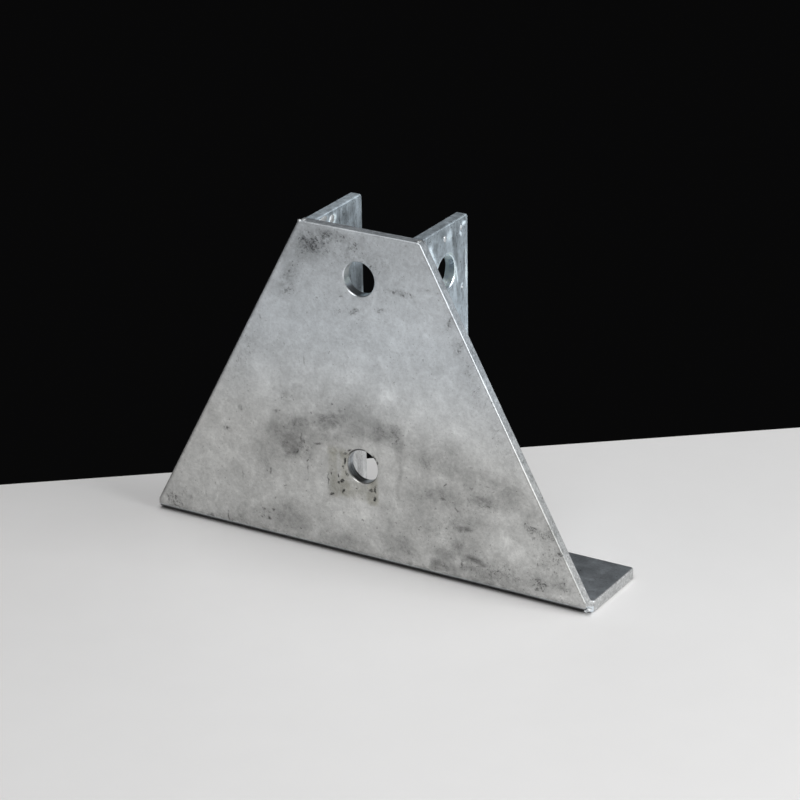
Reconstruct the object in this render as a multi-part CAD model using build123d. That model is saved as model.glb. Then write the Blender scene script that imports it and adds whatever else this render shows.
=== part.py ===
"""Welded post bracket in hot-dip galvanised steel.

One thick sheet is cut as a trapezoid with a rectangular tail, and the tail is
folded back along the bottom edge to make a foot.  Two rectangular cheeks stand
on the foot behind the face, square to it, and hold a post between them.  A
fillet weld down the outside of each cheek and along its foot joins the three
plates.  Two bolt holes pass through the face, one above the other, and one
cross bolt passes through both cheeks.

Frame: origin at the centre of the foot's underside, X along the foot,
Y from the face (front) to the rear edge, Z up.  Millimetres.
"""
from build123d import *
import os
from math import cos, radians

# Overall sizes
height = 180.0           # underside of the foot to the top edges of the face and the cheeks
foot_length = 260.0      # foot, end to end
depth = 50.0             # front of the face to the rear edges of the foot and the cheeks

# Folded plate: the face and the foot
plate_t = 6.0            # thickness of the folded sheet
bend_inside_r = 1.0      # inside radius of the fold
corner_r = 2.0           # rounding of the outline's corners
face_overhang = 1.0      # the face's top corners stand past the cheeks' outer faces by this much

# Cheeks
cheek_t = 6.0            # thickness of each cheek
cheek_gap = 56.0         # clear width between the cheeks, for the post
cheek_corner_r = 2.0     # rounding of the cheeks' rear top corners
bend_relief = 3.0        # the cheek's lower front corner clears the fold by this much

# Holes
face_hole_d = 18.0       # bolt holes through the face
lower_hole_z = 53.0      # height of the lower face hole
upper_hole_drop = 25.0   # top edge down to the upper face hole and to the cross hole
cross_hole_d = 18.0      # bolt hole through both cheeks

# Welds
weld_leg = 4.5           # leg of each fillet weld
weld_bulge = 0.5         # how far the weld's face stands proud of flat
weld_top_margin = 12.0   # the weld stops this far below the cheek's top edge
weld_rear_margin = 5.0   # the weld stops this far in front of the cheek's rear edge
weld_end_length = 3.0    # length over which each end of the weld tapers
weld_end_share = 0.4     # size of the weld's tip, as a share of its full section

# Edges under the zinc
edge_r = 0.8             # rounding of every free edge
rim_break = 0.5          # bevel that breaks the rims of the holes

# Places worked out from the sizes above
front_y = -depth / 2
back_y = front_y + plate_t
rear_y = front_y + depth
bend_outside_r = bend_inside_r + plate_t
bend_centre_y = front_y + bend_outside_r
cheek_outer_x = cheek_gap / 2 + cheek_t
face_top_x = cheek_outer_x + face_overhang
upper_hole_z = height - upper_hole_drop
cross_hole_y = (back_y + rear_y) / 2


def face_half_width(z):
    """Half width of the face at height z.

    The slopes run from just outside the cheeks at the top towards the foot's
    ends at mid thickness.
    """
    slope_foot_z = plate_t / 2
    rise = (z - slope_foot_z) / (height - slope_foot_z)
    return foot_length / 2 + (face_top_x - foot_length / 2) * rise


def round_outline(sheet, thickness_axis, is_free):
    """Round the outline on both sides of a flat sheet where is_free(edge centre) holds."""
    outline = sheet.edges().filter_by(thickness_axis, reverse=True)
    return fillet(outline.filter_by(lambda edge: is_free(edge.center())), edge_r)


def drill(sheet, holes):
    """Cut holes and break their rims."""
    sheet -= holes
    circles = sheet.edges().filter_by(GeomType.CIRCLE)
    return chamfer(circles.filter_by(lambda edge: edge.is_closed), rim_break)


def face_sheet():
    """Trapezoid from the fold up to the top edge, with the two bolt holes."""
    low = face_half_width(bend_outside_r)
    outline = Polyline(
        (-low, bend_outside_r),
        (low, bend_outside_r),
        (face_top_x, height),
        (-face_top_x, height),
        close=True,
    )
    sketch = make_face(outline)
    sketch = fillet(sketch.vertices().sort_by(Axis.Y)[-2:], corner_r)
    front_plane = Plane(origin=(0, front_y, 0), x_dir=(1, 0, 0), z_dir=(0, -1, 0))
    sheet = extrude(front_plane * sketch, -plate_t)
    sheet = round_outline(sheet, Axis.Y, lambda c: c.Z > bend_outside_r + edge_r)
    bolt = Rot(90, 0, 0) * Cylinder(face_hole_d / 2, 4 * plate_t)
    holes = [Pos(0, front_y, z) * bolt for z in (lower_hole_z, upper_hole_z)]
    return drill(sheet, holes)


def fold():
    """Quarter turn of the sheet; its ends draw in from the foot's width to the face's."""
    mid_r = bend_inside_r + plate_t / 2
    face_width = 2 * face_half_width(bend_outside_r)
    foot_start = Vector(0, bend_centre_y, plate_t / 2)
    face_start = Vector(0, front_y + plate_t / 2, bend_outside_r)
    centre = Vector(0, bend_centre_y, bend_outside_r)
    middle = centre - Vector(0, 1, 1) * (mid_r * cos(radians(45)))
    foot_plane = Plane(origin=foot_start, x_dir=(1, 0, 0), z_dir=(0, -1, 0))
    face_plane = Plane(origin=face_start, x_dir=(1, 0, 0), z_dir=(0, 0, 1))
    sections = [
        foot_plane * RectangleRounded(foot_length, plate_t, edge_r),
        face_plane * RectangleRounded(face_width, plate_t, edge_r),
    ]
    path = ThreePointArc(foot_start, middle, face_start)
    return sweep(sections, path=path, multisection=True)


def foot_sheet():
    """Flat foot behind the fold, with rounded rear corners."""
    length_y = rear_y - bend_centre_y
    sketch = Pos(0, bend_centre_y + length_y / 2) * Rectangle(foot_length, length_y)
    sketch = fillet(sketch.vertices().sort_by(Axis.Y)[-2:], corner_r)
    sheet = extrude(sketch, plate_t)
    return round_outline(sheet, Axis.Z, lambda c: c.Y > bend_centre_y + edge_r)


def folded_plate():
    """Face, fold and foot in one sheet."""
    return face_sheet() + fold() + foot_sheet()


def right_cheek():
    """Upright plate behind the face, on the foot, with the cross bolt's hole."""
    cut = bend_inside_r + bend_relief
    outline = Polyline(
        (back_y + cut, plate_t),
        (rear_y, plate_t),
        (rear_y, height),
        (back_y, height),
        (back_y, plate_t + cut),
        close=True,
    )
    sketch = make_face(outline)
    rear_top = sketch.vertices().sort_by(lambda v: v.X + v.Y)[-1]
    sketch = fillet(rear_top, cheek_corner_r)
    inner_plane = Plane(origin=(cheek_gap / 2, 0, 0), x_dir=(0, 1, 0), z_dir=(1, 0, 0))
    cheek = extrude(inner_plane * sketch, cheek_t)
    cheek = round_outline(
        cheek, Axis.X, lambda c: c.Z > height - cheek_corner_r or c.Y > rear_y - cheek_corner_r
    )
    bolt = Rot(0, 90, 0) * Cylinder(cross_hole_d / 2, 4 * cheek_t)
    return drill(cheek, Pos(cheek_gap / 2, cross_hole_y, upper_hole_z) * bolt)


def bead_section(share=1.0):
    """Section of a fillet weld with its root at the origin and its legs along +X and +Y."""
    leg = weld_leg * share
    bulge = weld_bulge * share * cos(radians(45))
    face = ThreePointArc((leg, 0), (leg / 2 + bulge, leg / 2 + bulge), (0, leg))
    return make_face([Line((0, 0), (leg, 0)), face, Line((0, leg), (0, 0))])


def bead(start_plane, length):
    """Straight weld along the plane's normal, tapering over its far end."""
    body = extrude(start_plane * bead_section(), length - weld_end_length)
    taper_plane = start_plane.offset(length - weld_end_length)
    tip_plane = start_plane.offset(length)
    tip = loft([taper_plane * bead_section(), tip_plane * bead_section(weld_end_share)])
    return body + tip


def right_weld(plate):
    """Weld up the outside of the right cheek and back along its bottom edge."""
    root = Vector(cheek_outer_x, back_y, plate_t)
    up = Plane(origin=root, x_dir=(1, 0, 0), z_dir=(0, 0, 1))
    back = Plane(origin=root, x_dir=(0, 0, 1), z_dir=(0, 1, 0))
    upright = bead(up, height - weld_top_margin - plate_t)
    along_foot = bead(back, rear_y - weld_rear_margin - back_y)
    return upright + along_foot - plate


def build():
    """All pieces by name."""
    plate = folded_plate()
    cheek = right_cheek()
    weld = right_weld(plate)
    return {
        "folded_plate": plate,
        "left_cheek": mirror(cheek, about=Plane.YZ),
        "right_cheek": cheek,
        "left_weld": mirror(weld, about=Plane.YZ),
        "right_weld": weld,
    }


os.makedirs("parts", exist_ok=True)
pieces = build()
for name, piece in pieces.items():
    export_step(piece, f"parts/{name}.step")
    print(f"{name}: {piece.volume:.0f} mm3")
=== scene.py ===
import math

import bmesh
import bpy
from mathutils import Matrix, Vector, noise


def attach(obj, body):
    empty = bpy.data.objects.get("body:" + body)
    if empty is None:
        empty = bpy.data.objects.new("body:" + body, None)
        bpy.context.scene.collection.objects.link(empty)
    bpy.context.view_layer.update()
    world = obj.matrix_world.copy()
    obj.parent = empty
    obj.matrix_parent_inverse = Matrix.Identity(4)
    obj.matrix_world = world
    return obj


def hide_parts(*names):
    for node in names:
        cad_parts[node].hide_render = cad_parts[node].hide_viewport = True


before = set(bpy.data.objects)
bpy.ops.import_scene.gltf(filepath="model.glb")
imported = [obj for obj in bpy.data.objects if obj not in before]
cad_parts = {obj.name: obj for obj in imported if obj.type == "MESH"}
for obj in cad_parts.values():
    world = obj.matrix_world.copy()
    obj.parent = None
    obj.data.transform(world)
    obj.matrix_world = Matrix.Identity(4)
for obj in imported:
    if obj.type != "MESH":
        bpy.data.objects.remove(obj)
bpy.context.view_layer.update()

MM = 0.001

# ------------------------------------------------------------------ camera
AIM = Vector((0.0, -25.0, 90.0)) * MM      # middle of the face's front surface
YAW, PITCH, ROLL = 0.54309, 0.40363, -0.01546     # radians
DISTANCE = 1600.13 * MM
SIDEWAYS, UPWARD = -19.636 * MM, -0.040 * MM
FOCAL_PIXELS, IMAGE_WIDTH, SENSOR = 3180.42, 800.0, 36.0


def make_camera():
    forward = Vector((-math.sin(YAW) * math.cos(PITCH), math.cos(YAW) * math.cos(PITCH),
                      -math.sin(PITCH)))
    level = Vector((math.cos(YAW), math.sin(YAW), 0.0))
    upright = level.cross(forward)
    right = level * math.cos(ROLL) + upright * math.sin(ROLL)
    up = -level * math.sin(ROLL) + upright * math.cos(ROLL)
    data = bpy.data.cameras.new("camera")
    data.sensor_width = SENSOR
    data.lens = FOCAL_PIXELS / IMAGE_WIDTH * SENSOR
    data.clip_start, data.clip_end = 0.05, 50.0
    camera = bpy.data.objects.new("camera", data)
    place = AIM - forward * DISTANCE - right * SIDEWAYS - up * UPWARD
    turn = Matrix((right, up, -forward)).transposed().to_4x4()
    camera.matrix_world = Matrix.Translation(place) @ turn
    bpy.context.scene.collection.objects.link(camera)
    bpy.context.scene.camera = camera


# ------------------------------------------------------- node writing tools
WHITE, DISPLAY_GAMMA = 255.0, 2.2


class Nodes:
    """A short way of writing a material's node tree.  Lengths are in mm."""

    def __init__(self, name):
        self.material = bpy.data.materials.new(name)
        self.material.use_nodes = True
        self.tree = self.material.node_tree
        self.tree.nodes.clear()
        self.output = self.add("ShaderNodeOutputMaterial")
        place = self.add("ShaderNodeTexCoord").outputs["Object"]
        self.mm = self.vector("SCALE", place, Scale=1000.0)
        split = self.add("ShaderNodeSeparateXYZ", {0: self.mm})
        self.x, self.y, self.z = split.outputs[0], split.outputs[1], split.outputs[2]

    def add(self, kind, inputs=None, **settings):
        node = self.tree.nodes.new(kind)
        for key, value in settings.items():
            setattr(node, key, value)
        for key, value in (inputs or {}).items():
            self.put(node.inputs[key], value)
        return node

    def put(self, socket, value):
        if isinstance(value, bpy.types.NodeSocket):
            self.tree.links.new(value, socket)
        else:
            socket.default_value = value

    def vector(self, operation, a, b=None, **named):
        inputs = {0: a}
        if b is not None:
            inputs[1] = b
        inputs.update(named)
        node = self.add("ShaderNodeVectorMath", inputs, operation=operation)
        gives_number = operation in ("LENGTH", "DOT_PRODUCT", "DISTANCE")
        return node.outputs["Value" if gives_number else "Vector"]

    def math(self, operation, a, b=0.0, clamp=False):
        node = self.add("ShaderNodeMath", {0: a, 1: b}, operation=operation, use_clamp=clamp)
        return node.outputs[0]

    def times(self, *values):
        result = values[0]
        for value in values[1:]:
            result = self.math("MULTIPLY", result, value)
        return result

    def plus(self, *values):
        result = values[0]
        for value in values[1:]:
            result = self.math("ADD", result, value)
        return result

    def minus(self, a, b):
        return self.math("SUBTRACT", a, b)

    def most(self, a, b):
        return self.math("MAXIMUM", a, b)

    def least(self, a, b):
        return self.math("MINIMUM", a, b)

    def absolute(self, value):
        return self.math("ABSOLUTE", value)

    def swing(self, value, amount):
        """Noise from 0 to 1 as a change of up to half the amount either way."""
        return self.times(self.minus(value, 0.5), amount)

    def from_axis(self, centre, flat):
        """Distance from a hole's axis through centre; flat is 0 along the axis and 1 across it."""
        offset = self.vector("SUBTRACT", self.mm, centre)
        return self.vector("LENGTH", self.vector("MULTIPLY", offset, flat))

    def ramp(self, value, low, high, at_low=0.0, at_high=1.0):
        """Smooth step from at_low where value is low to at_high where it is high."""
        if low > high:
            low, high, at_low, at_high = high, low, at_high, at_low
        inputs = {0: value, 1: low, 2: high, 3: at_low, 4: at_high}
        return self.add("ShaderNodeMapRange", inputs, interpolation_type="SMOOTHSTEP").outputs[0]

    def noise(self, size, detail, rough, place=None, stretch=None, shift=0.0, warp=0.0):
        """Noise from 0 to 1 whose largest features are about size mm."""
        place = place or self.mm
        if stretch or shift:
            place = self.add("ShaderNodeMapping", {
                "Vector": place, "Scale": stretch or (1, 1, 1),
                "Location": (shift, shift * 0.7, shift * 1.3)}).outputs[0]
        return self.add("ShaderNodeTexNoise", {
            "Vector": place, "Scale": 1.0 / size, "Detail": detail,
            "Roughness": rough, "Distortion": warp}).outputs[0]

    def warped(self, reach, size, detail=3.0, shift=0.0):
        """The surface's place, pushed about by up to reach mm."""
        place = self.add("ShaderNodeMapping", {
            "Vector": self.mm, "Location": (shift, -shift, shift)}).outputs[0]
        field = self.add("ShaderNodeTexNoise", {
            "Vector": place, "Scale": 1.0 / size, "Detail": detail, "Roughness": 0.6}).outputs[1]
        push = self.vector("MULTIPLY_ADD", field, (2 * reach,) * 3)
        push.node.inputs[2].default_value = (-reach,) * 3
        return self.vector("ADD", self.mm, push)

    def spots(self, place, marks, inner):
        """Sum of soft ovals seen along y, each full within the inner share of its reach:
        x, z, half width, half height, tilt in degrees, strength.  Math nodes only, because a
        long list of mapping nodes overflows the renderer's stack."""
        total = 0.0
        for x, z, wide, high, tilt, strength in marks:
            if tilt:
                turn = math.radians(tilt)
                offset = self.vector("SUBTRACT", place, (x, 0.0, z))
                u = self.vector("DOT_PRODUCT", offset,
                                (math.cos(turn) / wide, 0.0, math.sin(turn) / wide))
                v = self.vector("DOT_PRODUCT", offset,
                                (-math.sin(turn) / high, 0.0, math.cos(turn) / high))
                away = self.math("SQRT", self.plus(self.times(u, u), self.times(v, v)))
            else:
                scaled = self.vector("MULTIPLY", place, (1.0 / wide, 0.0, 1.0 / high))
                away = self.vector("DISTANCE", scaled, (x / wide, 0.0, z / high))
            one = self.ramp(away, 1.0, inner)
            total = self.add("ShaderNodeMath", {0: one, 1: strength, 2: total},
                             operation="MULTIPLY_ADD").outputs[0]
        return total

    def bars(self, place, marks):
        """Sum of soft rectangles on the face: x, z, half width, half height, softness, strength."""
        split = self.add("ShaderNodeSeparateXYZ", {0: place})
        total = None
        for x, z, wide, high, soft, strength in marks:
            across = self.absolute(self.minus(split.outputs[0], x))
            along = self.absolute(self.minus(split.outputs[2], z))
            one = self.times(self.ramp(across, wide, wide - soft),
                             self.ramp(along, high, high - soft), strength)
            total = one if total is None else self.plus(total, one)
        return total

    def mix(self, share, a, b, how="MIX"):
        node = self.add("ShaderNodeMix", data_type="RGBA", clamp_factor=True, blend_type=how)
        self.put(node.inputs[0], share)
        self.put(node.inputs[6], a)
        self.put(node.inputs[7], b)
        return node.outputs[2]

    def tone(self, level, tint):
        """Colour whose displayed grey is level, from 0 to 255, times a tint."""
        linear = self.math("POWER", self.math("DIVIDE", level, WHITE, clamp=True), DISPLAY_GAMMA)
        shade = self.add("ShaderNodeCombineColor", {0: linear, 1: linear, 2: linear}).outputs[0]
        return self.mix(1.0, shade, tint, "MULTIPLY")


# Tints: the face's front high up and low down, the rest of the plate, the cheeks and welds, cut
# edges and the cheeks low down, the drops, the stain, and the floor.
HIGH_TINT, LOW_TINT = (0.945, 1.0, 1.045, 1.0), (0.995, 1.0, 0.98, 1.0)
PLATE_TINT, CHEEK_TINT = (0.93, 1.0, 1.07, 1.0), (0.87, 1.0, 1.10, 1.0)
CUT_TINT, DROP_TINT = (0.99, 1.0, 1.0, 1.0), (0.965, 1.0, 1.02, 1.0)
STAIN_TINT, FLOOR_TINT = (0.985, 0.975, 0.875, 1.0), (1.0, 0.992, 0.99, 1.0)

# Shown greys, from 0 to 255, before any marks.
PLATE_GREY, CHEEK_GREY, WELD_GREY, DROP_GREY, FLOOR_GREY = 214.0, 219.0, 200.0, 208.0, 216.0
# How far the zinc's own noise moves the grey, in all.
CLOUD_SWING, MOTTLE_SWING, GRAIN_SWING = 46.0, 76.0, 58.0
RUN_SWING, LUMP_SWING, TORN_SWING = 120.0, 60.0, 150.0
# What each mark adds to the grey where it is full.
BLOOM, PIT, DARK, LIGHT, ROOM, CRUST, VEIN = 10.0, -55.0, -60.0, 20.0, -10.0, -42.0, -26.0
# Painted shade: the line under the front edge darkens the bend's underside, and the black also darkens
# the lower hole's upper rim.
STAIN, FLAW, BLACK_AND_RIM_SHADE, BEND_UNDERSIDE_SHADE = -24.0, -66.0, -125.0, -150.0
# Painted light and shade: the left slope's rim gets a painted dark reflection, the arris is dimmed by
# painted shade, and the bottom of the face is mottled darker.
LEFT_RIM_DARK_REFLECTION, LOW_MOTTLE, ARRIS_SHADE = -40.0, -40.0, -24.0
# Painted shade on the holes' walls, and painted light on the upper hole's upper left wall.
LOWER_WALL_SHADE, UPPER_WALL_SHADE, UPPER_LEFT_WALL_LIGHT = -76.0, -80.0, 38.0
CUT, FOOT_END = -64.0, -44.0
# Painted light: the cheeks' light marks hold a painted light spot on the left cheek's inner top, the
# cross hole's wall gets painted light, and a painted highlight rings its rim.
SMEAR, CHEEK_PALE_AND_PAINTED_LIGHT, CROSS_WALL_LIGHT, CROSS_RIM_HIGHLIGHT = -22.0, 50.0, 42.0, 30.0
OUTER_CUT, INNER_CUT = -34.0, -20.0
# The face's broad shading: at the top, towards the foot, towards the left, and everywhere.
HIGH_SHADE, LOW_SHADE, LEFT_SHADE, FACE_SHADE = -6.0, -26.0, -10.0, 3.0

# The face's slopes: |x| + SLOPE_RUN * z is SLOPE_SUM on the cut edge.
FACE_TOP_X, FOOT_END_X, TOP_Z, SLOPE_FOOT_Z = 35.0, 130.0, 180.0, 3.0
SLOPE_RUN = (FOOT_END_X - FACE_TOP_X) / (TOP_Z - SLOPE_FOOT_Z)
SLOPE_SUM = FOOT_END_X + SLOPE_RUN * SLOPE_FOOT_Z
# The holes' centres (x, y, z) and radius.  The first two run along y, the last along x.
LOWER_HOLE, UPPER_HOLE, CROSS_HOLE = (0.0, 0.0, 53.0), (0.0, 0.0, 155.0), (0.0, 3.0, 155.0)
LOWER_Z, UPPER_Z = LOWER_HOLE[2], UPPER_HOLE[2]
ALONG_Y, ALONG_X = (1.0, 0.0, 1.0), (0.0, 1.0, 1.0)
HOLE_R = 9.0

# Marks on the front of the face: x, z, half width, half height (mm), tilt (degrees), strength.
DARK_CLOUDS = (
    (-47, 63, 17, 14, 30, 0.85), (-42, 55, 10, 11, 0, 0.8), (-36, 71, 10, 7, 20, 0.6),
    (-19, 75, 13, 7, 15, 0.95), (-2, 77, 20, 10, 0, 0.6), (11, 75, 11, 9, 30, 0.75),
    (20, 74, 9, 10, 0, 0.45), (23.5, 66, 3.5, 11, 0, 0.5), (-28, 64, 14, 9, 20, 0.5),
    (0, 70, 30, 6, 0, 0.45), (-5, 85, 38, 9, 3, 0.35), (-45, 15, 22, 13, 0, 0.55),
    (38, 68, 20, 14, -10, 0.5), (62, 62, 24, 13, -12, 0.55), (83, 57, 15, 13, -25, 0.36),
    (50, 47, 22, 10, -10, 0.5), (71, 50, 16, 7, 0, 0.55), (34, 42, 15, 26, 0, 0.45),
    (62, 37, 20, 7, 0, 0.35), (98, 47, 11, 8, 0, 0.35), (47, 15, 13, 8, 0, 0.55),
    (44, 9, 6, 5, 20, 0.9), (65, 15.5, 12, 3.5, -8, 0.8), (61, 31.5, 8, 3, 8, 0.7),
    (57, 23, 4, 7, 0, 0.5), (20, 12, 16, 11, 0, 0.5), (78, 8, 28, 6, 0, 0.45),
    (108, 14, 18, 9, 0, 0.3), (-12, 8, 22, 6, 0, 0.4), (-80, 6, 24, 5, 0, 0.3),
    (-28, 168, 14, 13, 20, 0.6), (-16, 176, 20, 5, 0, 0.3), (-40, 154, 8, 22, -25, 0.4),
    (22, 52, 2.0, 26, 0, 0.35), (-2, 172, 40, 12, 0, 0.08), (-62, 50, 14, 12, 0, 0.2),
    (-56, 47, 26, 17, 10, 0.30), (-70, 36, 22, 14, 0, 0.15), (24, 20, 26, 20, 0, 0.25),
    (-29, 71, 13, 12, 0, 0.35), (-16, 64, 15, 8, 0, 0.3), (-30, 55, 10, 10, 0, 0.35),
    (58, 74, 20, 8, -5, 0.25), (66, 24, 16, 12, 0, 0.2), (46, 8, 10, 5, 0, 0.35),
    (60, 17, 22, 15, 0, 0.22), (53, 8, 16, 6, 0, 0.6), (14, 44, 12, 20, 0, 0.15),
    (-74, 10, 22, 8, 0, 0.15), (-74, 90, 18, 14, 0, 0.15), (64, 36, 24, 18, 0, 0.15),
)
LIGHT_CLOUDS = (
    (0, 113, 20, 9, 0, 0.8), (-6, 102, 20, 7, 10, 0.9), (17, 97, 8, 7, 0, 1.0),
    (21, 125, 9, 5, 20, 0.6), (-2, 29, 18, 11, 0, 1.2), (-16, 24, 13, 10, 0, 0.9),
    (83, 32, 6, 7, 0, 1.0), (75, 26, 11, 9, 20, 0.5), (92, 25, 15, 14, 0, 0.5),
    (-52, 32, 7, 9, 0, 0.9), (-56, 86, 11, 10, 0, 0.5), (-61, 96, 10, 7, 0, 0.4),
    (-50, 128, 11, 13, 0, 0.35), (-105, 20, 16, 9, 0, 0.4), (-80, 40, 18, 12, 0, 0.3),
    (14, 52, 8, 16, 0, 0.35), (45, 100, 24, 20, 0, 0.3), (60, 84, 18, 12, -20, 0.4),
    (30, 135, 18, 12, 0, 0.35), (-26, 35, 6, 12, 0, 0.4), (47, 26, 6, 5, 0, 0.35),
)
# Where the zinc is rough and full of pits.
SPECKLED = (
    (-28, 169, 14, 11, 20, 1.0), (-18, 175, 8, 5, 0, 0.7), (-40, 150, 7, 20, -25, 0.5),
    (-10, 176, 7, 2.5, 0, 0.7), (-3, 172, 5, 3.5, 20, 0.7), (25, 152, 12, 2.5, 0, 0.9),
    (-3, 138, 8, 3, 10, 0.8), (-13, 135, 4, 4, 0, 0.5), (12, 141, 5, 2, 10, 0.6),
    (52, 142, 4, 8, -20, 0.9), (57, 129, 4, 9, -30, 0.9), (63, 118, 4, 8, -30, 0.6),
    (-42, 142, 10, 5, 0, 0.5), (99, 40, 9, 5, -20, 0.9), (108, 40, 6, 10, -30, 0.7),
    (114, 30, 6, 8, -30, 0.6), (102, 11, 8, 6, 0, 0.9), (115, 13, 9, 6, 0, 0.6),
    (20, 74, 8, 9, 0, 0.6), (38, 62, 7, 5, -30, 0.5), (70, 48, 16, 9, 0, 0.45),
    (-35, 56, 5, 12, 20, 0.6), (-82, 58, 4, 3, 0, 0.7), (-118, 8, 9, 5, 0, 0.65),
    (0, 165, 34, 16, 0, 0.35), (75, 12, 30, 9, 0, 0.45), (-20, 12, 26, 9, 0, 0.2),
    (50, 30, 26, 18, 0, 0.3), (-60, 14, 9, 7, 0, 0.4), (-46, 82, 7, 5, 0, 0.5),
    (108, 24, 18, 20, 30, 0.42), (88, 15, 18, 11, 0, 0.25), (-112, 12, 14, 10, 0, 0.2),
    (-68, 104, 9, 34, -28, 0.35), (76, 90, 7, 40, 28, 0.3), (84, 54, 18, 12, -20, 0.15),
)
# Small dark flaws in the zinc.
FLAWS = (
    (-55.9, 38.7, 0.7, 3.4, -12, 0.7), (-73.5, 33, 0.5, 4.5, 0, 0.5), (-60.5, 15.8, 1.3, 1.0, 0, 0.9),
    (-55, 16.6, 1.2, 1.0, 0, 0.9), (-62.4, 11.4, 1.3, 0.9, 0, 0.9), (-57.6, 11, 1.9, 1.0, 0, 1.0),
    (-93.8, 4.6, 1.2, 2.6, 0, 0.8), (-83.5, 6.5, 0.7, 4.4, 0, 0.9), (-121.5, 8.5, 0.8, 3.4, 20, 0.8),
    (-117, 5, 3.2, 0.8, 0, 0.8), (-113, 6.6, 1.0, 2.0, 0, 0.6), (-107, 12, 1.6, 2.2, 0, 0.4),
    (48.8, 53.8, 1.6, 0.8, 35, 1.0), (32.8, 25.4, 0.8, 0.9, 0, 0.9), (34, 27, 1.3, 0.6, 20, 0.8),
    (-26.3, 60.4, 3.4, 1.0, 20, 0.9), (-32.9, 45, 0.5, 4.0, 0, 0.5), (-33, 38.9, 0.7, 1.1, 0, 0.9),
    (-0.6, 23, 1.0, 1.0, 0, 1.0), (-12, 24.5, 0.7, 1.4, 0, 0.6), (8, 20.5, 0.6, 0.9, 0, 0.7),
    (-17.3, 84.2, 1.0, 0.6, 0, 1.0), (-12.8, 81.2, 1.6, 1.0, 0, 0.5), (58, 12.5, 1.0, 3.0, 0, 0.8),
    (-82, 57.5, 1.2, 1.2, 0, 0.8), (-73.5, 71, 1.6, 2.2, 10, 0.7), (-59.5, 124, 0.8, 1.6, 0, 0.7),
    (-33.5, 105, 0.6, 3.6, 0, 0.6), (-18.5, 112, 0.6, 0.6, 0, 0.9), (-51.5, 73.3, 1.4, 1.0, 40, 0.7),
    (39.5, 156.5, 1.6, 1.0, 0, 0.7), (-10.6, 144, 1.6, 0.7, 0, 0.8), (13.6, 141.5, 1.4, 0.7, 10, 0.8),
    (-25, 140.6, 1.6, 0.7, 0, 0.6), (7.6, 163.2, 0.4, 1.0, 0, 0.8), (12.4, 161, 0.4, 1.6, -20, 0.8),
    (99.5, 41.5, 1.6, 1.0, 0, 0.9), (99, 36, 1.8, 1.0, 0, 0.8), (101, 8, 1.8, 1.1, 20, 0.9),
    (106, 11.6, 2.0, 1.2, 0, 0.7), (63.5, 55, 1.6, 1.0, 0, 0.6), (73, 58, 1.2, 0.7, 0, 0.7),
    (47, 45.6, 2.6, 0.9, 0, 0.6), (55, 41.4, 2.4, 0.7, -25, 0.7), (72, 47, 6.0, 0.5, 15, 0.6),
    (-97, 16, 0.8, 3.0, 0, 0.4), (-36.5, 62, 0.9, 3.0, 0, 0.7), (-39, 53.5, 0.8, 2.2, -30, 0.8),
)
# Black bits left in the stain; the last six, at the lower hole's upper rim, are painted shade of the
# rim's lip.
BLACK_BITS_AND_RIM_SHADE = (
    (-10.4, 54.2, 1.0, 2.4, 0, 1.0), (-11.4, 50.8, 0.8, 1.1, 0, 0.9), (-12.2, 42.6, 2.0, 1.2, 40, 1.0),
    (-14.2, 41.2, 0.9, 1.0, 0, 0.9), (-14.4, 45, 0.6, 1.8, 0, 0.8), (-11.5, 37, 0.8, 2.0, -15, 1.0),
    (-18.6, 33.9, 1.8, 1.2, 40, 1.0), (-18.6, 45, 0.5, 1.6, 20, 0.7), (-20.7, 42, 0.4, 5.0, 0, 0.6),
    (7.0, 36.6, 0.9, 1.8, -10, 1.0), (7.4, 42, 0.8, 3.0, 0, 0.9), (5.0, 41, 1.8, 1.3, 0, 0.7),
    (-3.8, 40, 0.9, 0.5, 0, 0.7), (-0.5, 35.5, 0.6, 0.8, 0, 0.6), (-9.2, 47, 1.0, 2.0, 20, 0.6),
    (4.1, 60.2, 1.3, 0.9, 0, 1.0), (2.6, 61.6, 1.0, 0.6, 0, 0.9), (7.2, 59.4, 1.9, 1.2, -40, 1.0),
    (8.9, 57.0, 0.7, 1.8, -12, 0.9), (-7.5, 60.6, 1.6, 0.5, 25, 0.8), (-10, 58.4, 1.6, 0.8, 20, 0.7),
)
# The old stain round the lower hole: x, z, half width, half height, softness (mm), strength.
STAINS = (
    (-17.6, 46.5, 3.8, 15, 2.8, 0.75), (-10.8, 47, 3.8, 14, 3.0, 0.8), (6.0, 41, 4.4, 9.5, 3.0, 0.95),
    (-4, 39.5, 14, 7, 4.5, 0.6), (-6, 58.5, 16, 4, 3.5, 0.4),
)


def zinc_tone(n, level, specks_room):
    """Grey and relief of dull hot-dip zinc before the marks of one place, and its mottle and
    clouds.  The more room for specks, the more pits."""
    clouds = n.noise(40.0, 5, 0.6, place=n.warped(10.0, 25.0))
    mottle = n.noise(9.0, 6, 0.68, shift=31.0, warp=0.6)
    grain = n.noise(1.5, 4, 0.7, shift=7.0)
    blooms = n.ramp(n.noise(13.0, 6, 0.66, shift=90.0, warp=1.0), 0.50, 0.66)
    tone = n.plus(n.swing(clouds, CLOUD_SWING), n.swing(mottle, MOTTLE_SWING),
                  n.swing(grain, GRAIN_SWING), n.times(blooms, BLOOM), level)
    coarse, fine = n.noise(2.1, 5, 0.68, shift=63.0), n.noise(0.95, 2, 0.5, shift=17.0)
    specks = n.ramp(n.plus(coarse, n.times(specks_room, 0.13)), 0.645, 0.72)
    dots = n.ramp(n.plus(fine, n.times(specks_room, 0.11)), 0.69, 0.76)
    pits = n.least(n.plus(specks, n.times(dots, 0.7)), 1.0)
    tone = n.plus(tone, n.times(pits, PIT))
    relief = n.plus(n.times(mottle, 0.8), n.times(clouds, 1.4), n.times(grain, 0.18))
    return tone, relief, mottle, clouds


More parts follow.
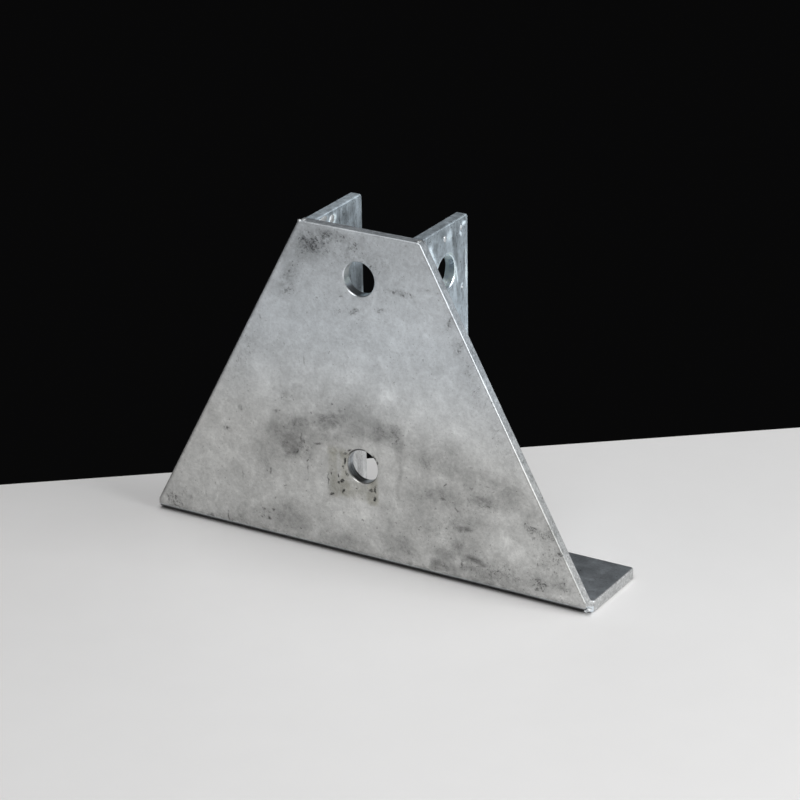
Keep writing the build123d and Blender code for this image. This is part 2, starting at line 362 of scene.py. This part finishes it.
def zinc_rough(n, base, mottle, clouds, fine=0.25, broad=0.15):
    """Roughness that follows the zinc's mottle and clouds."""
    return n.plus(base, n.swing(mottle, fine), n.swing(clouds, broad))


def zinc_shader(n, tone, tint, relief, rough, metallic):
    bump = n.add("ShaderNodeBump", {"Height": relief, "Strength": 0.35, "Distance": 0.0005})
    shader = n.add("ShaderNodeBsdfPrincipled", {
        "Base Color": n.tone(tone, tint), "Metallic": metallic, "Roughness": rough,
        "Normal": bump.outputs[0]})
    n.tree.links.new(shader.outputs[0], n.output.inputs[0])
    return n.material


def top_and_rear_cut(n):
    """1 on the cut edges at the top and at the rear."""
    return n.most(n.ramp(n.z, 179.0, 179.6), n.ramp(n.y, 24.0, 24.6))


def face_hole_wall(n, from_axis):
    """1 on the wall of a hole through the face, behind its front rim."""
    return n.times(n.ramp(from_axis, HOLE_R + 0.5, HOLE_R + 0.2), n.ramp(n.y, -24.9, -24.5))


def plate_zinc():
    """The folded plate's zinc, with the face's own marks on its front."""
    n = Nodes("zinc_plate")
    is_front = n.ramp(n.y, -23.9, -24.3)
    not_front = n.minus(1.0, is_front)
    across = n.absolute(n.x)
    slope = n.plus(across, n.times(n.z, SLOPE_RUN))
    crisp = n.warped(3.2, 6.0, shift=11.0)
    room = n.least(n.times(n.spots(crisp, SPECKLED, 0.0), is_front), 1.0)
    tone, relief, mottle, clouds = zinc_tone(n, PLATE_GREY, n.plus(room, 0.14))

    # Clouds, rough patches and the face's broad shading.
    near = n.warped(6.0, 14.0, shift=50.0)
    ragged = n.swing(n.noise(8.0, 6, 0.7, shift=44.0, warp=0.8), 1.7)
    dark = n.spots(near, DARK_CLOUDS, 0.0)
    dark = n.times(n.least(n.times(n.plus(dark, n.times(ragged, dark)), 0.9), 1.15), is_front)
    light = n.spots(near, LIGHT_CLOUDS, 0.0)
    light = n.times(n.least(n.minus(light, n.times(ragged, light)), 1.0), is_front)
    crust = n.ramp(n.noise(2.6, 5, 0.7, shift=28.0, warp=0.7), 0.44, 0.62)
    veins = n.minus(n.noise(15.0, 4, 0.62, shift=71.0, warp=1.5), 0.5)
    veins = n.ramp(n.absolute(veins), 0.022, 0.0)
    high, low, left = n.ramp(n.z, 135.0, 182.0), n.ramp(n.z, 112.0, 4.0), n.ramp(n.x, 55.0, -75.0)
    shade = n.plus(n.times(high, HIGH_SHADE), n.times(low, LOW_SHADE),
                   n.times(left, n.ramp(n.z, 15.0, 85.0), LEFT_SHADE), FACE_SHADE)
    tone = n.plus(tone, n.times(dark, DARK), n.times(light, LIGHT), n.times(room, ROOM),
                  n.times(crust, room, CRUST), n.times(veins, dark, VEIN),
                  n.times(shade, is_front))

    # The stain, the small flaws, the black bits, and painted shade along the lower hole's upper rim.
    tight = n.warped(1.5, 1.9, detail=5.0, shift=23.0)
    stain = n.least(n.times(n.bars(n.warped(1.4, 4.0, shift=3.0), STAINS), is_front), 1.0)
    stain = n.times(stain, n.ramp(n.noise(3.0, 5, 0.7, shift=12.0), 0.30, 0.56, 0.35, 1.0))
    broken = n.ramp(n.noise(1.1, 5, 0.75, shift=96.0, warp=0.6), 0.36, 0.54)
    flaw = n.times(n.spots(tight, FLAWS, 0.2), is_front, n.plus(0.35, n.times(broken, 0.75)))
    black_and_rim_shade = n.times(n.spots(tight, BLACK_BITS_AND_RIM_SHADE, 0.15), is_front, n.plus(0.32, broken))
    black_and_rim_shade = n.least(black_and_rim_shade, 1.0)
    low_axis = n.from_axis(LOWER_HOLE, ALONG_Y)
    # painted shade: a dark line along the lower hole's upper rim, left of centre, where its lip is
    # shaded
    rim = n.ramp(n.absolute(n.minus(low_axis, HOLE_R + 0.5)), 0.55, 0.25)
    rim = n.times(rim, is_front, n.ramp(n.z, LOWER_Z + 4.0, LOWER_Z + 7.0), n.ramp(n.x, 3.0, 0.0))
    black_and_rim_shade = n.most(black_and_rim_shade, n.times(rim, 0.8))

    # The walls of the two holes, with painted light and shade: the lower one darkened as painted
    # shade, most towards its bottom, and lined; the upper one painted dark below and painted light
    # on its upper left.
    lines = n.noise(1.2, 3, 0.6, stretch=(0.25, 1.6, 0.25), shift=39.0)
    lines = n.ramp(lines, 0.42, 0.58)
    below = n.ramp(n.z, LOWER_Z - 1.0, LOWER_Z - 8.0)
    # painted shade in the lower hole's recess, darker towards its bottom, with streaks along the bore
    lower_wall_shade = n.times(face_hole_wall(n, low_axis),
                       n.plus(0.1, n.times(lines, 0.5), n.times(below, 0.45)))
    in_upper = face_hole_wall(n, n.from_axis(UPPER_HOLE, ALONG_Y))
    # painted light on the upper hole's upper left wall
    upper_left_wall_light = n.times(in_upper, n.ramp(n.x, -3.0, -7.0),
                        n.ramp(n.z, UPPER_Z - 8.0, UPPER_Z - 3.0))
    # painted shade on the lower part of the upper hole's wall
    in_upper = n.times(in_upper, n.ramp(n.z, UPPER_Z - 3.0, UPPER_Z - 8.0))

    # Painted shade on the bend's underside under the front edge, a painted dark reflection on the
    # left slope's rim, painted shade dimming the right slope's arris, and a mottled darkening along
    # the bottom.
    # painted shade: the bend's underside below the front edge is darkened and made less metallic
    bend_underside_shade = n.times(n.ramp(n.z, 3.7, 2.2), n.ramp(n.y, -14.0, -17.5),
                        n.ramp(across, 129.2, 127.8))
    left_only = n.times(n.ramp(n.x, -1.0, 1.0), -999.0)
    # painted dark reflection: a thin dark band along the left slope's rounded rim
    left_rim_dark_reflection = n.ramp(n.plus(slope, left_only), SLOPE_SUM - 2.2, SLOPE_SUM - 0.6)
    left_rim_dark_reflection = n.times(left_rim_dark_reflection, is_front)
    # painted shade: the front of the right slope's rounded arris is darkened, dimming its highlight
    arris_shade = n.times(n.ramp(slope, SLOPE_SUM - 0.9, SLOPE_SUM - 0.3), n.ramp(n.x, 0.0, 5.0), is_front)
    # darker and mottled along the bottom of the face
    low_mottle = n.ramp(n.noise(4.0, 5, 0.7, shift=8.0), 0.42, 0.62)
    low_mottle = n.times(n.ramp(n.z, 8.0, 2.5), is_front, low_mottle)
    tone = n.plus(tone, n.times(stain, STAIN), n.times(flaw, FLAW), n.times(black_and_rim_shade, BLACK_AND_RIM_SHADE),
                  n.times(bend_underside_shade, BEND_UNDERSIDE_SHADE), n.times(left_rim_dark_reflection, LEFT_RIM_DARK_REFLECTION),
                  n.times(low_mottle, LOW_MOTTLE), n.times(lower_wall_shade, LOWER_WALL_SHADE),
                  n.times(in_upper, UPPER_WALL_SHADE), n.times(upper_left_wall_light, UPPER_LEFT_WALL_LIGHT),
                  n.times(arris_shade, ARRIS_SHADE))

    # Cut edges: the top and rear, the foot's ends, and the slopes.
    cut = top_and_rear_cut(n)
    end = n.times(n.ramp(across, 129.0, 129.6), n.ramp(n.y, -19.5, -18.5))
    slope_cut = n.times(n.ramp(slope, SLOPE_SUM - 1.0, SLOPE_SUM - 0.4), n.ramp(n.z, 3.0, 4.0),
                        n.ramp(n.y, -18.5, -19.0))
    torn = n.minus(n.noise(1.3, 4, 0.75, shift=81.0), 0.5)
    tone = n.plus(tone, n.times(n.most(slope_cut, cut), not_front, CUT), n.times(end, FOOT_END),
                  n.times(torn, not_front, n.most(n.most(slope_cut, end), cut), TORN_SWING))
    cut = n.most(cut, n.most(slope_cut, end))

    face_tint = n.mix(n.ramp(n.z, 55.0, 130.0), LOW_TINT, HIGH_TINT)
    face_tint = n.mix(stain, face_tint, STAIN_TINT)
    neutral = n.times(n.most(n.most(cut, lower_wall_shade), bend_underside_shade), n.ramp(n.z, 120.0, 60.0))
    tint = n.mix(is_front, n.mix(neutral, PLATE_TINT, CUT_TINT), face_tint)
    rough = n.plus(zinc_rough(n, 0.33, mottle, clouds), n.times(cut, 0.16), n.times(dark, 0.08),
                   n.times(stain, 0.15), n.times(black_and_rim_shade, 0.3))
    metallic = n.plus(0.9, n.times(cut, -0.25), n.times(stain, -0.35), n.times(black_and_rim_shade, -0.6),
                      n.times(bend_underside_shade, -0.6))
    return zinc_shader(n, tone, tint, relief, rough, metallic)


def cheek_zinc(name, dark_marks_and_shade, light_marks_and_painted_light, outer):
    """A cheek's zinc: bluish, run down in streaks.  The marks, as distance behind the face's
    back and z, show on the outer side of the right cheek or on the inner sides; on the left
    cheek's inner side they include painted shade low at the rear and a painted light spot at the
    top.  The cross hole gets painted light on its wall and a painted highlight round its rim."""
    n = Nodes(name)
    tone, relief, mottle, clouds = zinc_tone(n, CHEEK_GREY, 0.3)
    runs = n.noise(4.5, 5, 0.65, stretch=(1.0, 1.0, 0.12), shift=5.0, warp=0.4)
    smears = n.noise(7.0, 5, 0.7, stretch=(1.0, 1.0, 0.35), shift=52.0, warp=1.2)
    smears = n.ramp(smears, 0.52, 0.66)
    tone = n.plus(tone, n.swing(runs, RUN_SWING), n.times(smears, SMEAR))
    side = {0: n.minus(n.y, FACE_BACK_Y), 1: 0.0, 2: n.z}
    side = n.add("ShaderNodeCombineXYZ", side).outputs[0]
    push = n.vector("SUBTRACT", n.warped(1.6, 4.0, shift=33.0), n.mm)
    side = n.vector("ADD", side, push)
    on_side = n.ramp(n.x, 33.0, 33.4) if outer else n.ramp(n.absolute(n.x), 29.2, 28.8)
    # on the left cheek's inner side the dark marks include painted shade low at the rear, and the light
    # marks are a painted light spot at the top
    dark = n.least(n.times(n.spots(side, dark_marks_and_shade, 0.3), on_side), 1.0)
    light = n.least(n.times(n.spots(side, light_marks_and_painted_light, 0.3), on_side), 1.0)
    tone = n.plus(tone, n.times(dark, DARK), n.times(light, CHEEK_PALE_AND_PAINTED_LIGHT))

    cut = top_and_rear_cut(n)
    from_axis = n.from_axis(CROSS_HOLE, ALONG_X)
    # painted light on the cross hole's wall
    wall = n.times(n.ramp(from_axis, HOLE_R + 0.5, HOLE_R + 0.2),
                   n.ramp(from_axis, HOLE_R - 2.0, HOLE_R - 1.0))
    # painted highlight: a lighter ring just outside the cross hole's rim
    ring = n.ramp(n.absolute(n.minus(from_axis, HOLE_R + 1.1)), 0.8, 0.2)
    tone = n.plus(tone, n.times(cut, OUTER_CUT if outer else INNER_CUT),
                  n.times(wall, CROSS_WALL_LIGHT), n.times(ring, CROSS_RIM_HIGHLIGHT))
    rough = n.plus(zinc_rough(n, 0.33, mottle, clouds), n.swing(runs, 0.2), n.times(cut, 0.12),
                   n.times(light, 0.2))
    metallic = n.plus(0.9, n.times(cut, -0.2), n.times(light, -0.45))
    relief = n.plus(relief, n.times(runs, 1.0), n.times(light, 0.6))
    tint = n.mix(n.ramp(n.z, 60.0, 130.0), CUT_TINT, CHEEK_TINT)
    return zinc_shader(n, tone, tint, relief, rough, metallic)


def weld_zinc():
    n = Nodes("zinc_weld")
    tone, relief, mottle, clouds = zinc_tone(n, WELD_GREY, 0.3)
    lumps = n.noise(3.0, 4, 0.6, shift=15.0)
    tone = n.plus(tone, n.swing(lumps, LUMP_SWING))
    rough = zinc_rough(n, 0.42, mottle, clouds)
    return zinc_shader(n, tone, CHEEK_TINT, n.plus(relief, lumps), rough, 0.8)


def drop_zinc():
    n = Nodes("zinc_drop")
    tone, relief, mottle, clouds = zinc_tone(n, DROP_GREY, 0.2)
    rough = zinc_rough(n, 0.38, mottle, clouds, fine=0.2, broad=0.1)
    return zinc_shader(n, tone, DROP_TINT, relief, rough, 0.75)


def floor_material():
    n = Nodes("floor_white")
    grain = n.noise(25.0, 3, 0.5)
    shader = n.add("ShaderNodeBsdfPrincipled", {
        "Base Color": n.tone(n.plus(FLOOR_GREY, n.times(grain, 3.0)), FLOOR_TINT),
        "Roughness": 0.5})
    n.tree.links.new(shader.outputs[0], n.output.inputs[0])
    return n.material


# -------------------------------------------------------------------- stage
# The table's far edge, as two points on the floor (row frame, mm).
EDGE_LEFT, EDGE_RIGHT = Vector((-200.0, -23.0)), Vector((102.0, 221.0))
# How far the table runs each way along that edge, and towards the camera (mm).
TABLE_HALF, TABLE_DEPTH = 4000, 6000


def make_floor():
    along = (EDGE_RIGHT - EDGE_LEFT).normalized()
    toward = Vector((along.y, -along.x))
    middle = (EDGE_LEFT + EDGE_RIGHT) / 2
    left, right = middle - along * TABLE_HALF, middle + along * TABLE_HALF
    corners = [left, right, right + toward * TABLE_DEPTH, left + toward * TABLE_DEPTH]
    mesh = bpy.data.meshes.new("floor")
    bm = bmesh.new()
    bm.faces.new([bm.verts.new((c.x * MM, c.y * MM, 0.0)) for c in reversed(corners)])
    bm.to_mesh(mesh)
    bm.free()
    floor = bpy.data.objects.new("floor", mesh)
    mesh.materials.append(floor_material())
    bpy.context.scene.collection.objects.link(floor)


def area_light(name, place, target, size, radiance, colour=(1, 1, 1)):
    """A softbox of the given radiance, where 1 is as bright as a white card in full light."""
    data = bpy.data.lights.new(name, "AREA")
    data.shape = "RECTANGLE"
    data.size, data.size_y = size
    data.energy = radiance * math.pi * size[0] * size[1]
    data.color = colour
    lamp = bpy.data.objects.new(name, data)
    lamp.rotation_mode = "QUATERNION"
    lamp.rotation_quaternion = (Vector(target) - Vector(place)).to_track_quat("-Z", "Y")
    lamp.location = place
    bpy.context.scene.collection.objects.link(lamp)


def make_light():
    area_light("overhead", (0.1, 0.05, 1.5), (0.1, 0.05, 0.0), (1.2, 1.2), 1.6)
    area_light("front_top", (0.3, -0.7, 1.5), (0.0, 0.0, 0.0), (1.0, 1.0), 3.8)
    area_light("right", (1.4, 0.0, 0.7), (0.0, 0.0, 0.1), (0.9, 0.9), 7.4)
    area_light("rear_right", (1.05, 0.75, 0.42), (0.0, 0.0, 0.1), (0.9, 0.75), 1.3,
               (0.92, 0.98, 1.0))
    area_light("front_left", (-0.9, -1.1, 0.75), (0.0, 0.0, 0.1), (1.0, 0.8), 0.9)
    world = bpy.data.worlds.new("world")
    bpy.context.scene.world = world
    world.use_nodes = True
    background = world.node_tree.nodes["Background"]
    background.inputs[0].default_value = (0.0025, 0.0025, 0.0026, 1.0)
    background.inputs[1].default_value = 1.0


# ------------------------------------------------------------------- pieces
def dress(node, material):
    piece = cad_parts[node]
    piece.data.materials.clear()
    piece.data.materials.append(material)


# Marks on the cheeks: distance behind the face's back, z, half width, half height (mm), tilt
# (degrees), strength.
RIGHT_DARK = (
    (31, 166, 3.0, 13, 12, 0.9), (40, 158, 1.6, 16, 0, 0.4), (20, 176, 4, 2.5, 0, 0.4),
    (12, 172, 3, 4, 0, 0.5), (34, 140, 2.0, 10, 0, 0.5), (28, 147, 1.2, 4, 0, 0.6),
)
RIGHT_LIGHT = (
    (8, 169, 3.0, 8, 20, 0.7), (12, 164, 2.0, 5, 30, 0.4), (37, 172, 1.2, 2.4, 30, 0.6),
    (37.5, 144, 0.9, 1.2, 0, 0.9), (26, 174, 5, 4, 20, 0.3), (33, 150, 1.0, 8, 10, 0.5),
    (40, 176, 2.5, 2.0, 0, 0.8), (42, 150, 1.0, 14, 0, 0.4),
)
# The last oval is painted shade on the low rear of the left cheek's inner side, inside the channel.
LEFT_MARKS_AND_SHADE = (
    (27, 172, 4, 8, 0, 0.4), (6, 170, 4, 8, 0, 0.5), (12, 150, 6, 8, 0, 0.3), (37, 132, 14, 17, 0, 1.0),
)
# Painted light: a lit spot at the top of the left cheek's inner side.
LEFT_PAINTED_LIGHT = (
    (15, 174, 6, 3.5, 25, 1.0), (4, 177, 4, 2.0, 0, 0.9),
)

# The fillet welds (row frame, mm): outer side of a cheek, back of the face and top of the foot;
# then the welds' ends, their leg and bulge, and how far they sink into the plates.
CHEEK_X, FACE_BACK_Y, FOOT_TOP_Z = 34.0, -19.0, 6.0
WELD_TOP_Z, WELD_REAR_Y, WELD_LEG, WELD_BULGE, SUNK = 168.0, 20.0, 4.5, 0.45, 0.1
# The bead's step along its path, points across it, and the length of its tapered ends.
BEAD_STEP, BEAD_POINTS, BEAD_TAPER = 0.3, 13, 3.5
# The ripples' pitch and height, the lumps' height, and where the bead is mitred at the corner.
RIPPLE_PITCH, RIPPLE_HEIGHT, LUMP_HEIGHT, MITRE = 1.7, 0.13, 0.16, 12.0
DIAGONAL = 0.707


def weld_bead(side, material):
    """One rippled bead down the corner behind the face and back along the foot."""
    upright = WELD_TOP_Z - FOOT_TOP_Z
    length = upright + WELD_REAR_Y - FACE_BACK_Y
    stations = int(length / BEAD_STEP)
    mesh = bpy.data.meshes.new("bead")
    bm = bmesh.new()
    rings = []
    for i in range(stations + 1):
        s = length * i / stations
        seed = Vector((s * 0.11, 7.0 * side, 3.0))
        end = min(s, length - s)
        taper = max(0.0, 1.0 - end / BEAD_TAPER)
        taper = 0.25 + 0.75 * math.sqrt(max(0.0, 1.0 - taper ** 2))
        leg_x = WELD_LEG * taper * (1.0 + 0.09 * noise.noise(seed))
        leg_b = WELD_LEG * taper * (1.0 + 0.09 * noise.noise(seed + Vector((0.0, 9.0, 0.0))))
        bulge = WELD_BULGE * taper * (1.0 + 0.4 * noise.noise(seed * 2.1))
        phase = s / RIPPLE_PITCH + 0.35 * noise.noise(Vector((s * 0.2, side, 0.0)))
        section = [(-SUNK, -SUNK)]
        for j in range(BEAD_POINTS):
            u = j / (BEAD_POINTS - 1)
            arch = math.sin(math.pi * u)
            ripple = RIPPLE_HEIGHT * taper * arch * math.sin(2 * math.pi * (phase - 0.45 * arch))
            lump = noise.noise(Vector((s * 0.9, u * 3.0, 5.0 * side)))
            out = bulge * arch + ripple + LUMP_HEIGHT * taper * arch * lump
            sink_a = SUNK if j == BEAD_POINTS - 1 else 0.0
            sink_b = SUNK if j == 0 else 0.0
            section.append((leg_x * (1.0 - u) + out * DIAGONAL - sink_a,
                            leg_b * u + out * DIAGONAL - sink_b))
        away = abs(upright - s)
        mitre = max(0.0, 1.0 - away / MITRE)
        ring = []
        for a, b in section:
            x = side * (CHEEK_X + a)
            if s < upright:
                place = (x, FACE_BACK_Y + b, FOOT_TOP_Z + away + b * mitre)
            else:
                place = (x, FACE_BACK_Y + away + b * mitre, FOOT_TOP_Z + b)
            ring.append(bm.verts.new(Vector(place) * MM))
        rings.append(ring)
    for one, two in zip(rings, rings[1:]):
        for j in range(len(one)):
            k = (j + 1) % len(one)
            bm.faces.new((one[j], one[k], two[k], two[j]))
    bm.faces.new(rings[0])
    bm.faces.new(list(reversed(rings[-1])))
    bmesh.ops.recalc_face_normals(bm, faces=bm.faces)
    bmesh.ops.triangulate(bm, faces=[f for f in bm.faces if len(f.verts) > 4])
    for face in bm.faces:
        face.smooth = True
    bm.to_mesh(mesh)
    bm.free()
    name = "left_weld" if side < 0 else "right_weld"
    piece = bpy.data.objects.new(name + "_bead", mesh)
    mesh.materials.append(material)
    bpy.context.scene.collection.objects.link(piece)
    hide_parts(name)
    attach(piece, "root")


# Drops and dabs of zinc: x, y, z and the reach each way (mm).
DROPS = (
    (-34.3, -24.2, 179.6, 1.0, 0.9, 0.9), (-32.9, -22.6, 179.9, 1.3, 1.2, 0.45),
    (-28.3, -12.0, 177.4, 0.5, 4.6, 2.0), (-28.2, -4.0, 175.4, 0.45, 2.8, 2.4),
    (33.4, -21.8, 179.9, 1.1, 1.8, 0.4), (129.4, -24.2, 3.4, 0.9, 0.7, 0.9),
    (128.0, -24.4, 2.4, 0.9, 0.6, 0.6), (129.3, -22.4, 3.1, 0.9, 1.3, 0.6),
    (34.0, 2.0, 173.4, 0.35, 1.4, 1.6), (34.0, 18.0, 174.4, 0.35, 0.8, 1.2),
    (34.0, 18.6, 142.5, 0.35, 0.7, 0.8),
)


def zinc_drops(material):
    """Small frozen drops of zinc on the plate and the cheeks, as one piece."""
    bm = bmesh.new()
    for number, (x, y, z, rx, ry, rz) in enumerate(DROPS):
        made = bmesh.ops.create_icosphere(bm, subdivisions=4, radius=1.0)
        for vert in made["verts"]:
            away = vert.co.normalized()
            swell = 1.0 + 0.28 * noise.noise(away * 1.6 + Vector((number * 7.0, 0.0, 0.0)))
            swell += 0.10 * noise.noise(away * 4.0 + Vector((0.0, number * 5.0, 0.0)))
            vert.co = Vector((x + rx * away.x * swell, y + ry * away.y * swell,
                              z + rz * away.z * swell)) * MM
    for face in bm.faces:
        face.smooth = True
    mesh = bpy.data.meshes.new("zinc_drops")
    bm.to_mesh(mesh)
    bm.free()
    mesh.materials.append(material)
    piece = bpy.data.objects.new("zinc_drops", mesh)
    bpy.context.scene.collection.objects.link(piece)
    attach(piece, "root")


make_camera()
make_floor()
make_light()
dress("folded_plate", plate_zinc())
dress("left_cheek", cheek_zinc("zinc_left_cheek", LEFT_MARKS_AND_SHADE, LEFT_PAINTED_LIGHT, False))
dress("right_cheek", cheek_zinc("zinc_right_cheek", RIGHT_DARK, RIGHT_LIGHT, True))
weld = weld_zinc()
for side in (-1, 1):
    weld_bead(side, weld)
zinc_drops(drop_zinc())
bpy.context.scene.view_settings.view_transform = "Standard"
